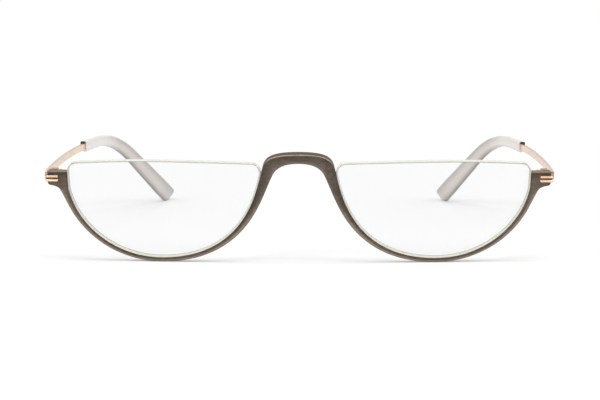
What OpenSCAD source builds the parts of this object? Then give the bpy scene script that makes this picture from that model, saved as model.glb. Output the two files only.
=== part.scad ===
// Half-moon reading glasses: an under-rim front with a saddle bridge, two open-topped
// lenses, two folding temples with soft tips. Millimetres, +Z up, the front faces -Y.
// The glasses stand on their rim bottoms and the ends of their temple tips.

/* [Lenses] */
// Lens width from its lowest point towards the nose
lens_nose_part = 28.2; // [26:0.2:31]
// Lens width from its lowest point towards the temple
lens_outer_part = 25.6; // [23:0.1:27]
// Height of the lens from its lowest point to the crown of its open top edge
lens_h = 27.6; // [26.4:0.1:28]
// How far the top edge falls from its crown to the nose corner
top_fall_nose = 0.9; // [0.4:0.1:1.4]
// How far the top edge falls from its crown to the outer corner
top_fall_outer = 1.6; // [0.8:0.1:2]
// Radius of the two top corners of a lens
lens_corner_r = 2.4; // [1.5:0.1:3]
// Thickness of the lens
lens_t = 2.1; // [1.8:0.1:2.2]
// Radius of the lens's front surface
lens_curve_r = 140; // [110:5:200]

/* [Front] */
// Gap between the two lenses at the bridge
bridge_gap = 20.4; // [18:0.2:23]
// Height of the bridge's top over the lowest point of the lens
bridge_h = 29.4; // [28.6:0.1:30]
// Height of the bridge's face at its middle
bridge_w = 2.6; // [2.2:0.1:3]
// Depth of the bridge, front to back
bridge_depth = 3.8; // [3:0.1:4.5]
// How far the bridge's middle stands forward of its legs
bridge_bow = 0.8; // [0:0.1:1.5]
// Width of the rim under the lens
rim_w = 1.05; // [0.9:0.05:1.4]
// Width of the rim where it becomes the bridge's leg
leg_w = 3.15; // [2.8:0.05:3.3]
// Width of the rim where it meets the end lug
neck_w = 2.25; // [2.05:0.05:2.6]
// Depth of the rim and lugs, front to back
rim_depth = 2.6; // [2.5:0.05:3]
// How far the lens lies behind the rim's front face
lens_recess = 0.35; // [0.3:0.05:0.4]
// Width of the end lug, from the lens to the outer end
lug_w = 5.25; // [4.9:0.05:5.8]
// Height of the end lug
lug_h = 3.85; // [3.6:0.05:4.2]
// Forward lean of the front's top, in degrees
lean = 8; // [4:0.5:12]
// Backward turn of each lens's outer side, in degrees
wrap = 4; // [2:0.5:6]

/* [Grooves and cord] */
// Width of the groove round the lens and of the channel in the rim
groove_w = 0.6; // [0.5:0.05:0.7]
// Depth of the groove in the lens
lens_groove = 0.5; // [0.4:0.05:0.6]
// Depth of the channel in the rim
rim_channel = 0.35; // [0.25:0.05:0.4]
// Thickness of the nylon cord over the open top of the lens
cord_d = 0.45; // [0.4:0.05:0.5]

/* [Hinges] */
// Diameter of the hinge barrel
barrel_d = 2.2; // [2.1:0.05:2.4]
// Height of the whole hinge barrel
barrel_h = 3.6; // [3.2:0.1:4]
// Diameter of the hinge screw's shank
screw_d = 1.1; // [1:0.05:1.2]
// Diameter of the hinge screw's head
screw_head_d = 1.8; // [1.7:0.05:1.9]
// Height of the hinge screw's head
screw_head_h = 0.5; // [0.4:0.05:0.6]
// Thickness of the clip that wraps the lug
clip_t = 0.4; // [0.35:0.05:0.5]
// Height of the clip
clip_h = 1.85; // [1.7:0.05:2.2]
// Length of the clip along the front of the lug
clip_len = 3; // [2.7:0.1:3.4]
// Length of the clip along the back of the lug
clip_back_len = 3.7; // [3.4:0.1:4]
// How far the clip's middle lies below the top of the lug
clip_drop = 1.75; // [1.55:0.05:1.9]
// Diameter of the rivet through the clip and the lug
rivet_d = 0.9; // [0.8:0.05:1]

/* [Temples] */
// Height of the flat temple bar
bar_h = 2.15; // [1.9:0.05:2.6]
// Thickness of the temple bar
bar_t = 0.85; // [0.8:0.05:1]
// How far the bar's middle lies outside the hinge's axis
bar_out = 2.4; // [2:0.05:2.6]
// Length of the temple along its middle, from the hinge to its end
temple_len = 147; // [140:0.5:150]
// Distance along the temple from the hinge to the start of its bend
bend_start = 80.5; // [78:0.5:83]
// Length of the bend along the temple
bend_len = 30; // [27:1:34]
// Rise of the temple ahead of its bend, in degrees
temple_rise = 1.8; // [1.4:0.1:2.4]
// Downward slope of the temple behind its bend, in degrees
temple_drop = 29.15; // [26:0.05:32]
// Outward turn of the temple at its hinge, in degrees
splay = 3.8; // [3:0.1:4.4]
// Inward turn of the temple behind its bend, in degrees
tuck = 18.8; // [16:0.2:22]
// Distance along the temple from the hinge to the start of its soft tip
tip_start = 67.5; // [64:0.5:71]
// Height of the soft tip at its start
tip_h = 3.5; // [3.2:0.1:3.8]
// Height of the soft tip at its end
tip_end_h = 6.5; // [5.8:0.1:6.8]
// Thickness of the soft tip
tip_t = 2.1; // [2:0.1:2.6]
// How far the top of the tip's end reaches beyond its bottom, for each unit of height
end_slant = 0.85; // [0.5:0.05:1]
// Length of the dark trim ahead of the soft tip
trim_len = 0.9; // [0.7:0.1:1.5]

/* [Fits] */
// Clearance between a lens and its rim
lens_fit = 0.05; // [0.04:0.01:0.08]
// Clearance of parts that sit in a groove, channel or hole
seat_fit = 0.03; // [0.02:0.01:0.05]
// Radial clearance of the screw in the turning knuckle
running_fit = 0.04; // [0.02:0.01:0.08]
// Gap between the hinge's knuckles
knuckle_gap = 0.08; // [0.05:0.01:0.12]

/* [Hidden] */
$fn = 64;

taupe = [0.40, 0.36, 0.32];
rose_gold = [0.90, 0.72, 0.62];
clear_lens = [0.92, 0.95, 0.94, 0.35];
nylon = [0.86, 0.88, 0.84];
soft_grey = [0.82, 0.79, 0.77];
dark_metal = [0.20, 0.19, 0.18];

// Small helpers for curves and points
function bezier(p, t) =
    pow(1 - t, 3) * p[0] + 3 * pow(1 - t, 2) * t * p[1]
    + 3 * (1 - t) * t * t * p[2] + pow(t, 3) * p[3];
function bezier_slope(p, t) =
    3 * pow(1 - t, 2) * (p[1] - p[0]) + 6 * (1 - t) * t * (p[2] - p[1])
    + 3 * t * t * (p[3] - p[2]);
function unit(v) = v / norm(v);
function steps(n, first = 0) = [for (i = [first : n]) i / n];
function reversed(list) = [for (i = [len(list) - 1 : -1 : 0]) list[i]];
function mid(a, b) = (a + b) / 2;

// Closed skin over a list of rings that all have the same number of points
module skin(rings) {
    n = len(rings[0]);
    last = len(rings) - 1;
    points = [for (ring = rings) each ring];
    sides = [
        for (i = [0 : last - 1], j = [0 : n - 1])
            let (a = i * n + j, b = i * n + (j + 1) % n)
                each [[a, b, b + n], [a, b + n, a + n]]
    ];
    caps = [
        for (j = [1 : n - 2])
            each [[0, j + 1, j], [last * n, last * n + j, last * n + j + 1]]
    ];
    polyhedron(points = points, faces = concat(sides, caps), convexity = 10);
}

// Outline of one lens, as x from the middle of the bridge and height v over the table
nose_x = bridge_gap / 2;
low_x = nose_x + lens_nose_part;
side_x = low_x + lens_outer_part;
low_v = rim_w;
lens_top_v = low_v + lens_h;
bridge_v = low_v + bridge_h;
leg_v = low_v + 24.05;
neck_v = low_v + 19.95;
lug_top_v = low_v + 23.6;
lug_low_v = lug_top_v - lug_h;
lug_x = side_x + lug_w;

// Lens-side edge of the rim: from the bridge's leg down to the lowest point, then out and up
nose_edge = [
    [nose_x, leg_v],
    [nose_x + 0.124 * lens_nose_part, mid(low_v, leg_v) - 6.85],
    [low_x - 0.435 * lens_nose_part, low_v],
    [low_x, low_v],
];
outer_edge = [
    [low_x, low_v],
    [low_x + 0.51 * lens_outer_part, low_v],
    [side_x - 1.75, mid(low_v, neck_v) - 1],
    [side_x - 0.05, neck_v],
];
side_top = [side_x + 0.02, lug_top_v];
nose_points = [for (t = steps(22)) bezier(nose_edge, t)];
neck_t = 0.973;
neck_end_v = bezier(outer_edge, neck_t).y;
outer_points = [for (t = neck_t * steps(20, 1)) bezier(outer_edge, t)];

// Open top edge of the lens: an arch between two rounded corners
nose_top = [nose_x + 0.15, lens_top_v - top_fall_nose];
outer_top = [side_top.x, lens_top_v - top_fall_outer];
crown_x = mid(nose_top.x, outer_top.x);
function arch_v(x) =
    let (nose_side = x < crown_x)
        lens_top_v - (nose_side ? top_fall_nose : top_fall_outer)
            * pow((x - crown_x) / (crown_x - (nose_side ? nose_top.x : outer_top.x)), 2);
function corner(tip, way) = [
    for (a = [0 : 15 : 90])
        let (x = tip.x + way * lens_corner_r * (1 - cos(a)))
            [x, arch_v(x) - lens_corner_r * (1 - sin(a))]
];
arch_from = nose_top.x + lens_corner_r;
arch_to = outer_top.x - lens_corner_r;
arch_points = [
    for (t = [1 : 15])
        let (x = arch_from + (arch_to - arch_from) * t / 16) [x, arch_v(x)]
];
top_points = concat(corner(nose_top, 1), arch_points, reversed(corner(outer_top, -1)));
nose_corner_v = top_points[0].y;
lens_outline = concat(
    [for (p = nose_points) if (p.y < nose_corner_v - 0.1) p], outer_points, reversed(top_points)
);

// The outline moved inwards by d
function inset(loop, d) = [
    for (i = [0 : len(loop) - 1])
        let (
            before = loop[(i + len(loop) - 1) % len(loop)],
            after = loop[(i + 1) % len(loop)],
            way = unit(after - before)
        )
            loop[i] + d * [-way.y, way.x]
];

// Depth of the lens's front surface, measured back from the flat front plane
lens_mid_x = mid(nose_x, side_x);
lens_mid_v = low_v + 13.6;
sphere_x = lens_mid_x - lens_curve_r * sin(wrap);
sphere_y = lens_recess + lens_curve_r * cos(wrap);
function lens_y(x, v, r = lens_curve_r) =
    sphere_y - sqrt(r * r - pow(x - sphere_x, 2) - pow(v - lens_mid_v, 2));
function face_y(p) =
    let (
        x = min(max(p.x, nose_x), side_x),
        v = x > side_x - 0.5 ? min(p.y, neck_end_v) : p.y
    )
        lens_y(x, v) - lens_recess
        - (p.x < nose_x ? bridge_bow * (1 - pow(p.x / nose_x, 2)) : 0);
lens_back_r = lens_curve_r - lens_t;
groove_mid_r = lens_curve_r - lens_t / 2;

// Outer edge of the rim: the lens-side edge moved out by the rim's width
function across(edge, t) =
    let (way = unit(bezier_slope(edge, t))) [way.y, -way.x];
function flare(f, even, n) = even * f + (1 - even) * pow(f, n);
function leg_width(v) =
    rim_w + (leg_w - rim_w) * flare((v - low_v) / (leg_v - low_v), 0.65, 8);
function neck_width(v) =
    rim_w + (neck_w - rim_w) * flare((v - low_v) / (neck_end_v - low_v), 0.4, 10);
nose_pairs = [
    for (t = steps(22))
        let (p = bezier(nose_edge, t)) [p, p - leg_width(p.y) * -across(nose_edge, t)]
];
outer_pairs = [
    for (t = neck_t * steps(20, 1))
        let (p = bezier(outer_edge, t)) [p, p + neck_width(p.y) * across(outer_edge, t)]
];
leg_out = nose_pairs[0][1];
neck_out = outer_pairs[len(outer_pairs) - 1][1];

// Bridge: its top edge and its arch, from the middle out to the leg
bridge_top = [
    [0, bridge_v],
    [0.95 * nose_x, bridge_v],
    [nose_x - 0.8, bridge_v - 2.3],
    [nose_x, leg_v],
];
bridge_arch = [
    [0, bridge_v - bridge_w],
    [0.57 * leg_out.x, bridge_v - bridge_w],
    [leg_out.x - 1, bridge_v - bridge_w - 1.3],
    leg_out,
];
bridge_pairs = [
    for (i = [1 : 8]) [bezier(bridge_top, i / 9), bezier(bridge_arch, i / 9)]
];
bridge_middle = [[bridge_top[0], bridge_arch[0]]];

// End lug: a concave sweep out of the rim's neck, a rounded lower corner and a square top
lug_corner_r = 0.8;
lug_fillet = [
    neck_out,
    [neck_out.x + 0.4, lug_low_v - 0.55],
    [mid(neck_out.x, lug_x) - 0.3, lug_low_v - 0.2],
    [lug_x - lug_corner_r, lug_low_v],
];
neck_in = outer_pairs[len(outer_pairs) - 1][0];
function up_side(f) = neck_in + f * (side_top - neck_in);
lug_pairs = concat(
    [for (i = [1 : 6]) [up_side(0.28 * i / 6), bezier(lug_fillet, i / 6)]],
    [
        for (i = [1 : 4])
            let (a = 22.5 * i)
                [
                    up_side(0.28 + 0.05 * i),
                    [lug_x - lug_corner_r * (1 - sin(a)), lug_low_v + lug_corner_r * (1 - cos(a))]
                ]
    ],
    [for (f = [0.75, 1]) [up_side(f), [lug_x, up_side(f).y]]]
);
half_pairs = concat(bridge_pairs, nose_pairs, outer_pairs, lug_pairs);
function mirrored(pair) = [for (p = pair) [-p.x, p.y]];
rim_pairs = concat(
    [for (pair = reversed(half_pairs)) mirrored(pair)], bridge_middle, half_pairs
);

// One cross-section of the front, between a lens-side point and an outer point
edge_r = 0.3;
channel_far_end = 0.02;
function face_depth(p) = face_y([abs(p.x), p.y]);
function thickness(x) =
    let (f = min(abs(x) / (nose_x + 2), 1)) bridge_depth + (rim_depth - bridge_depth) * f * f;
function channel_depth(p) =
    abs(p.x) > nose_x + 0.05 || p.y < leg_v - 0.5 ? rim_channel : channel_far_end;
function rounded_corner(c, from) = [
    for (a = [0, 45, 90]) c + edge_r * [cos(from - a), sin(from - a)]
];
function rim_section(w, depth, channel, channel_y) = concat(
    rounded_corner([w - edge_r, edge_r], 0),
    rounded_corner([edge_r, edge_r], 270),
    [
        [0, channel_y - groove_w / 2],
        [channel, channel_y - groove_w / 2],
        [channel, channel_y + groove_w / 2],
        [0, channel_y + groove_w / 2]
    ],
    rounded_corner([edge_r, depth - edge_r], 180),
    rounded_corner([w - edge_r, depth - edge_r], 90)
);
function channel_y(p) =
    let (x = min(max(abs(p.x), nose_x), side_x))
        abs(p.x) < nose_x ? lens_recess + lens_t / 2
            : lens_y(x, p.y, groove_mid_r) - face_depth(p);
function rim_ring(pair) =
    let (
        inner = pair[0],
        outer = pair[1],
        w = norm(outer - inner),
        way = (outer - inner) / w,
        y_in = face_depth(inner),
        y_out = face_depth(outer),
        section = rim_section(w, thickness(inner.x), channel_depth(inner), channel_y(inner))
    )
        [
            for (q = section)
                let (p = inner + q.x * way) [p.x, y_in + (y_out - y_in) * q.x / w + q.y, p.y]
        ];
rim_rings = [for (pair = rim_pairs) rim_ring(pair)];

// The front leans forward and rests on its rims; Y = 0 is the middle of the whole depth
function leaned(p) = [p.x, p.y * cos(lean) - p.z * sin(lean), p.y * sin(lean) + p.z * cos(lean)];
rim_leaned = [for (ring = rim_rings, p = ring) leaned(p)];
rest_z = -min([for (p = rim_leaned) p.z]);
front_y = min([for (p = rim_leaned) p.y]);
module in_front() {
    translate([0, 0, rest_z]) rotate([lean, 0, 0]) children();
}
function world(p) = leaned(p) + [0, 0, rest_z];

// Places at the lug, in the front's own plane
lug_mid_v = mid(lug_low_v, lug_top_v);
lug_y = face_y([lug_x, lug_mid_v]);
lug_back_y = lug_y + rim_depth;
clip_v = lug_top_v - clip_drop;
leaf_t = 0.7;
stop_gap = 0.06;
leaf_back_y = lug_back_y + seat_fit + clip_t + seat_fit + leaf_t;

// The hinge's upright axis, behind the lug, and the height of its barrel
axis_x = lug_x - barrel_d / 2 - 0.2;
barrel_low_z = world([0, lug_back_y, lug_top_v]).z + 0.1 - barrel_h;
barrel_top_z = barrel_low_z + barrel_h;
leaf_foot_y = world([0, leaf_back_y, lug_low_v]).y;
axis_y = leaf_foot_y + barrel_d / 2 + 0.05;
knuckle_h = (barrel_h - 2 * knuckle_gap) / 3;
turning_low_z = barrel_low_z + knuckle_h + knuckle_gap;
turning_top_z = turning_low_z + knuckle_h;
screw_hole_d = screw_d + 2 * running_fit;

// The temple's middle line: short steps along a heading that follows these tables
step_len = 1.5;
bend_end = bend_start + bend_len;
temple_start = [
    axis_x + bar_out,
    leaf_foot_y - 0.5,
    mid(turning_low_z, turning_top_z) - 0.1
];
function turn_at(s) =
    lookup(s, [
        [0, splay],
        [0.61 * bend_start, -2],
        [bend_start + 1, -0.65 * tuck],
        [bend_end - 1.5, -tuck]
    ]);
function slope_at(s) = lookup(s, [[bend_start, temple_rise], [bend_end, -temple_drop]]);
function heading(s) =
    let (turn = turn_at(s), slope = slope_at(s))
        [sin(turn) * cos(slope), cos(turn) * cos(slope), sin(slope)];
path_count = floor(temple_len / step_len) + 1;
path = [
    for (
        i = 0, p = temple_start;
        i <= path_count;
        p = p + step_len * heading((i + 0.5) * step_len), i = i + 1
    )
        p
];
function on_path(s) =
    let (i = min(floor(s / step_len), path_count - 1), f = s / step_len - i)
        path[i] + f * (path[i + 1] - path[i]);
// A flat loop of points round the temple's middle line at distance s
function loop_at(s, loop) =
    let (
        turn = turn_at(s),
        slope = slope_at(s),
        side = [cos(turn), -sin(turn), 0],
        up = [-sin(turn) * sin(slope), -cos(turn) * sin(slope), cos(slope)]
    )
        [for (q = loop) on_path(s) + q.x * side + q.y * up];
// A rounded upright loop, w wide and h high, whose ends are r round
function round_loop(w, h, r, n = 3) = [
    for (k = [0 : 3], i = [0 : n - 1])
        let (
            a = 90 * k + 90 * i / (n - 1),
            cx = (k == 0 || k == 3 ? 1 : -1) * (w / 2 - r),
            cy = (k < 2 ? 1 : -1) * (h / 2 - r)
        )
            [cx + r * cos(a), cy + r * sin(a)]
];

// Sizes along the temple
core_end = temple_len - 9;
core_fit = 0.05;
function bar_height(s) = lookup(s, [[tip_start + 4, bar_h], [tip_start + 16, 0.8 * bar_h]]);
function core_loop(s, extra) =
    let (w = bar_t + 2 * extra, h = bar_height(s) + 2 * extra) round_loop(w, h, 0.24 * w);
end_r = 1.8;
// Run of the tip's flare, most of it over this length
flare_len = 38;
function tip_height(s) =
    lookup(s, [
        [tip_start, tip_h],
        [bend_start + 6, tip_h],
        [bend_start + flare_len, tip_h + 0.65 * (tip_end_h - tip_h)],
        [temple_len - 9, tip_end_h],
        [temple_len, tip_end_h]
    ]);
// How much the end of the tip is drawn in at distance s, as in a quarter circle
function end_drawn_in(s) =
    let (f = max(0, s - (temple_len - end_r)) / end_r) end_r * (1 - sqrt(1 - min(f * f, 0.999)));
function tip_loop(s) =
    let (d = end_drawn_in(s), w = tip_t - 0.7 * d) round_loop(w, tip_height(s) - 2 * d, 0.42 * w, 5);
function channel_loop(s) =
    let (w = bar_t + 2 * core_fit, h = bar_height(s) + 2 * core_fit)
        round_loop(w, h, 0.24 * w, 5);
tip_stations = concat(
    [for (s = [tip_start : 2 : temple_len - end_r]) s],
    [for (f = [0.05, 0.4, 0.7, 0.9, 1]) temple_len - end_r + f * end_r]
);
function end_slant_at(s) = end_slant * pow(max(0, (s - temple_len + 30) / 30), 2);
tip_rings = [
    for (s = tip_stations)
        let (slant = end_slant_at(s))
            [for (p = loop_at(s, tip_loop(s))) p + slant * (p - on_path(s)).z * heading(s)]
];
back_y = max([for (ring = tip_rings, p = ring) p.y]);
mid_y = mid(front_y, back_y);
module placed(side) {
    translate([0, -mid_y, 0]) mirror([side < 0 ? 1 : 0, 0, 0]) children();
}

// Front frame: rims, bridge and lugs in one piece, with a hole for each clip rivet
rivet_cover = 0.5;
// How far a cut runs on past what it cuts
cut_extra = 3;
module at_rivet(depth) {
    translate([lug_x - clip_back_len + 0.7, lug_y + depth, clip_v]) rotate([-90, 0, 0]) children();
}
module rivet_hole() {
    at_rivet(rivet_cover) cylinder(d = rivet_d + 2 * seat_fit, h = rim_depth + cut_extra);
}
module front_frame() {
    color(taupe) placed(1) in_front() difference() {
        skin(rim_rings);
        rivet_hole();
        mirror([1, 0, 0]) rivet_hole();
    }
}

// Lens: one skin from the middle of its front over its grooved edge to the middle of its back
function lens_ring(r, loop, share = 1) = [
    for (p = loop)
        let (x = crown_x + share * (p.x - crown_x), v = lens_mid_v + share * (p.y - lens_mid_v))
            [x, lens_y(x, v, r), v]
];
module lens(side) {
    front_r = groove_mid_r + groove_w / 2;
    rear_r = groove_mid_r - groove_w / 2;
    edge = inset(lens_outline, lens_fit);
    groove_bottom = inset(lens_outline, lens_fit + lens_groove);
    shares = [0.1, 0.4, 0.7];
    color(clear_lens) placed(side) in_front() skin(concat(
        [for (share = shares) lens_ring(lens_curve_r, edge, share)],
        [
            lens_ring(lens_curve_r, edge), lens_ring(front_r, edge),
            lens_ring(front_r, groove_bottom), lens_ring(rear_r, groove_bottom),
            lens_ring(rear_r, edge), lens_ring(lens_back_r, edge)
        ],
        [for (share = reversed(shares)) lens_ring(lens_back_r, edge, share)]
    ));
}

// Points of a strip or cord that lies in the groove, at a distance inside the lens outline
function groove_point(p) = [p.x, lens_y(p.x, p.y, groove_mid_r), p.y];
function tangent(points, i) =
    unit(points[min(i + 1, len(points) - 1)] - points[max(i - 1, 0)]);
function groove_ring(points, i, loop) =
    let (
        way = tangent(points, i),
        out = unit([way.z, 0, -way.x]),
        back = cross(way, out)
    )
        [for (q = loop) points[i] + q.x * out + q.y * back];

// Rim liner: nylon strip that fills the rim's channel and tapers into the lens's groove
module rim_liner(side) {
    reach_out = rim_channel - seat_fit;
    reach_in = 0.3;
    half_out = groove_w / 2 - 2.5 * seat_fit;
    half_in = groove_w / 4;
    loop = [
        [reach_out, -half_out], [-reach_in, -half_in], [-reach_in, half_in], [reach_out, half_out]
    ];
    points = [for (p = concat(nose_points, outer_points)) if (p.y < liner_top_v) groove_point(p)];
    color(nylon) placed(side) in_front()
        skin([for (i = [0 : len(points) - 1]) groove_ring(points, i, loop)]);
}
liner_top_v = neck_v - 1.5;

// Lens cord: round nylon line in the groove over the open top, held in the rim's channel
module lens_cord(side) {
    tail = 5;
    sink = lens_fit + lens_groove - cord_d / 2 - seat_fit;
    run = [
        for (p = reversed(inset(lens_outline, sink)))
            if (p.y > leg_v - tail) groove_point(p)
    ];
    lowest = [for (i = [1 : len(run) - 1]) if (norm(run[i] - run[i - 1]) > 10) i];
    first = len(lowest) > 0 ? lowest[0] : 0;
    points = [for (i = [0 : len(run) - 1]) run[(i + first) % len(run)]];
    loop = [for (a = [0 : 45 : 315]) cord_d / 2 * [cos(a), -sin(a)]];
    color(nylon) placed(side) in_front()
        skin([for (i = [0 : len(points) - 1]) groove_ring(points, i, loop)]);
}

// End clip: a band bent round the lug's outer end, with two raised bars on its face
clip_front_y = lug_y - seat_fit;
clip_back_y = lug_back_y + seat_fit;
clip_out_x = lug_x + seat_fit;
clip_bend_r = 0.25;
bar_r = 0.34;
// Stations round the lug: place of the bend's centre, its direction, how far the bars rise
function clip_turn(from, y, first, last, rise) = [
    for (i = [first : last]) [[clip_out_x - clip_bend_r, y], from + 90 / 4 * i, rise]
];
clip_stations = concat(
    [
        for (q = [[0, 0.05], [0.08, 0.65], [0.3, 1]])
            [[lug_x - clip_len + q.x, clip_front_y + clip_bend_r], -90, q.y]
    ],
    clip_turn(-90, clip_front_y + clip_bend_r, 0, 4, 1),
    [
        for (q = [[0, 1], [0.22, 0.65], [0.3, 0.05]])
            [[clip_out_x - clip_bend_r, mid(clip_front_y, clip_back_y) + q.x], 0, q.y]
    ],
    clip_turn(0, clip_back_y - clip_bend_r, 0, 4, 0.05),
    [[[lug_x - clip_back_len, clip_back_y - clip_bend_r], 90, 0.05]]
);
function clip_profile(rise) = concat(
    [[0, -clip_h / 2]],
    [
        for (side = [-1, 1], a = [180 : -30 : 0])
            [
                clip_t + rise * bar_r * sin(a),
                side * (clip_h / 2 - bar_r) + bar_r * cos(a)
            ]
    ],
    [[0, clip_h / 2]]
);
module end_clip(side) {
    rings = [
        for (st = clip_stations)
            [
                for (q = clip_profile(st[2]))
                    let (r = clip_bend_r + q.x)
                        [st[0].x + r * cos(st[1]), st[0].y + r * sin(st[1]), clip_v + q.y]
            ]
    ];
    color(rose_gold) placed(side) in_front() difference() {
        skin(rings);
        rivet_hole();
    }
}

// Clip rivet: from a blind hole in the lug through the clip's back arm and the hinge's leaf
module clip_rivet(side) {
    shank = rim_depth - rivet_cover + clip_t + leaf_t + 2 * seat_fit + 0.15;
    color(rose_gold) placed(side) in_front() at_rivet(rivet_cover + seat_fit)
        cylinder(d = rivet_d, h = shank);
}

// Front hinge: a leaf behind the clip with an upper and a lower knuckle
module on_axis(z) {
    translate([axis_x, axis_y, z]) children();
}
module knuckle_block(low_z, h) {
    on_axis(low_z) cylinder(d = barrel_d, h = h);
    translate([axis_x - barrel_d / 2, leaf_foot_y - cut_extra, low_z])
        cube([barrel_d, cut_extra + axis_y - leaf_foot_y, h]);
}
module front_hinge(side) {
    // What lies ahead of the leaf is cut away over this length
    ahead = 4 * cut_extra;
    leaf_y = lug_back_y + 2 * seat_fit + clip_t;
    color(rose_gold) placed(side) difference() {
        union() {
            in_front() translate([lug_x - clip_back_len, leaf_y, lug_low_v + 0.2])
                cube([clip_back_len, leaf_t, lug_h - 0.3]);
            knuckle_block(barrel_low_z, knuckle_h);
            knuckle_block(turning_top_z + knuckle_gap, knuckle_h);
        }
        in_front() translate([lug_x - ahead, leaf_y - ahead, lug_low_v - ahead / 2])
            cube([2 * ahead, ahead, 2 * ahead]);
        in_front() rivet_hole();
        on_axis(barrel_low_z - 1) cylinder(d = screw_d + 2 * seat_fit, h = barrel_h + 2);
        on_axis(barrel_top_z - screw_head_h + 0.1) cylinder(d = screw_head_d + 2 * seat_fit, h = 2);
    }
}

// Hinge screw: slotted head let into the upper knuckle, shank through all three knuckles
module hinge_screw(side) {
    head_z = barrel_top_z - screw_head_h + 0.1 + seat_fit;
    color(rose_gold) placed(side) difference() {
        union() {
            on_axis(barrel_low_z) cylinder(d = screw_d, h = head_z - barrel_low_z + 0.1);
            on_axis(head_z) cylinder(d = screw_head_d, h = screw_head_h);
        }
        on_axis(head_z + screw_head_h) cube([screw_head_d + 1, 0.3, 0.4], center = true);
    }
}

// Temple hinge: the turning knuckle with a leaf along the inside of the temple bar
leaf_len = 6;
inner_leaf_t = 0.5;
module temple_hinge(side) {
    wall_x = temple_start.x - bar_t / 2 - seat_fit;
    leaf_h = bar_h - 0.4;
    color(rose_gold) placed(side) difference() {
        union() {
            on_axis(turning_low_z) cylinder(d = barrel_d, h = knuckle_h);
            on_axis(turning_low_z) cube([wall_x - axis_x, barrel_d / 2 + 1, knuckle_h]);
            translate([wall_x, axis_y + barrel_d / 2 + 0.15, mid(turning_low_z, turning_top_z) - leaf_h / 2])
                rotate([0, 0, -0.9 * splay]) translate([-inner_leaf_t, 0, 0])
                    cube([inner_leaf_t, leaf_len, leaf_h]);
        }
        on_axis(turning_low_z - 1) cylinder(d = screw_hole_d, h = knuckle_h + 2);
    }
}

// Temple bar: a flat metal strip whose thinner core runs on inside the soft tip
bar_stations = concat([0, 3, 6, 10], [for (s = [15 : 5 : bend_start - 6]) s],
    [for (s = [bend_start - 3 : 2 : bend_end + 2]) s], [bend_end + 9, core_end]);
module temple_bar(side) {
    color(rose_gold) placed(side) difference() {
        skin([for (s = bar_stations) loop_at(s, core_loop(s, 0))]);
        in_front() translate([lug_x - 3, leaf_back_y + stop_gap - 6, lug_low_v - 6]) cube([6, 6, 12]);
    }
}

// Tip trim: a dark strip over the top and outer side of the bar, ahead of the soft tip
module tip_trim(side) {
    gap = seat_fit + 0.02;
    in_x = bar_t / 2 + gap;
    in_z = bar_h / 2 + gap;
    out_x = tip_t / 2 - 0.1;
    out_z = tip_h / 2 - 0.05;
    loop = [
        [out_x, out_z], [-bar_t / 2, out_z], [-bar_t / 2, in_z], [in_x, in_z], [in_x, -in_z],
        [out_x, -in_z]
    ];
    color(dark_metal) placed(side)
        skin([for (f = [0 : 0.25 : 1]) loop_at(tip_start - gap - trim_len * (1 - f), loop)]);
}

// Temple tip: a soft flared sleeve with a blind channel for the bar's core
channel_end = core_end + 0.5;
channel_stations = [for (f = [0 : 1 / 32 : 1]) channel_end + f * (tip_start - channel_end)];
module temple_tip(side) {
    inner_rings = [for (s = channel_stations) loop_at(s, channel_loop(s))];
    color(soft_grey) placed(side) skin(concat(inner_rings, tip_rings));
}

front_frame();
lens(-1);  // lens_left
lens(1);  // lens_right
rim_liner(-1);  // rim_liner_left
rim_liner(1);  // rim_liner_right
lens_cord(-1);  // lens_cord_left
lens_cord(1);  // lens_cord_right
end_clip(-1);  // end_clip_left
end_clip(1);  // end_clip_right
clip_rivet(-1);  // clip_rivet_left
clip_rivet(1);  // clip_rivet_right
front_hinge(-1);  // front_hinge_left
front_hinge(1);  // front_hinge_right
hinge_screw(-1);  // hinge_screw_left
hinge_screw(1);  // hinge_screw_right
temple_hinge(-1);  // temple_hinge_left
temple_hinge(1);  // temple_hinge_right
temple_bar(-1);  // temple_bar_left
temple_bar(1);  // temple_bar_right
tip_trim(-1);  // tip_trim_left
tip_trim(1);  // tip_trim_right
temple_tip(-1);  // temple_tip_left
temple_tip(1);  // temple_tip_right
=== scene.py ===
import math

import bmesh
import bpy
import numpy as np
from mathutils import Matrix


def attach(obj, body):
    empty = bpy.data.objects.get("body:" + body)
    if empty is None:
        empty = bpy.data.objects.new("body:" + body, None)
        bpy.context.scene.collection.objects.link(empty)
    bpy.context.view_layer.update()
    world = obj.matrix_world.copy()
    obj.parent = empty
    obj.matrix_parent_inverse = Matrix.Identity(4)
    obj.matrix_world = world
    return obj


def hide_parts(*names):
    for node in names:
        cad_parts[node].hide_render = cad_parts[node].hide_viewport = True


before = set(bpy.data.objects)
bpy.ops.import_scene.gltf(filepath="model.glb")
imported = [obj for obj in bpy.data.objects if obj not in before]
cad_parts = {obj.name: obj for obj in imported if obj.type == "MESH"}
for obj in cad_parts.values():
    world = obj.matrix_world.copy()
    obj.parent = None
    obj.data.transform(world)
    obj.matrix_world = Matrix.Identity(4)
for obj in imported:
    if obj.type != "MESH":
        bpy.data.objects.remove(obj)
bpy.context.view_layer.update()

# Sizes of the glasses, millimetres and degrees, as in the part. In their names X is a
# distance from the middle of the bridge, V a height in the front's own leaning plane.
NOSE_X = 10.2  # nose side of a lens
LOW_X = 38.4  # lowest point of a lens
SIDE_X = 64.0  # outer side of a lens
LUG_X = 69.25  # outer end of a lug
LOW_V = 1.05  # bottom of a lens
LENS_TOP_V = 28.65
BRIDGE_V = 30.45  # top of the bridge
BRIDGE_W = 2.6
BRIDGE_DEPTH = 3.8
BRIDGE_BOW = 0.8
LEG_V = 25.1  # where the bridge's leg becomes the rim
NECK_V = 21.0  # where the rim becomes the lug
LUG_TOP_V = 24.65
LUG_LOW_V = 20.8
LUG_CORNER_R = 0.8
RIM_W = 1.05
LEG_W = 3.15
NECK_W = 2.25
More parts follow.
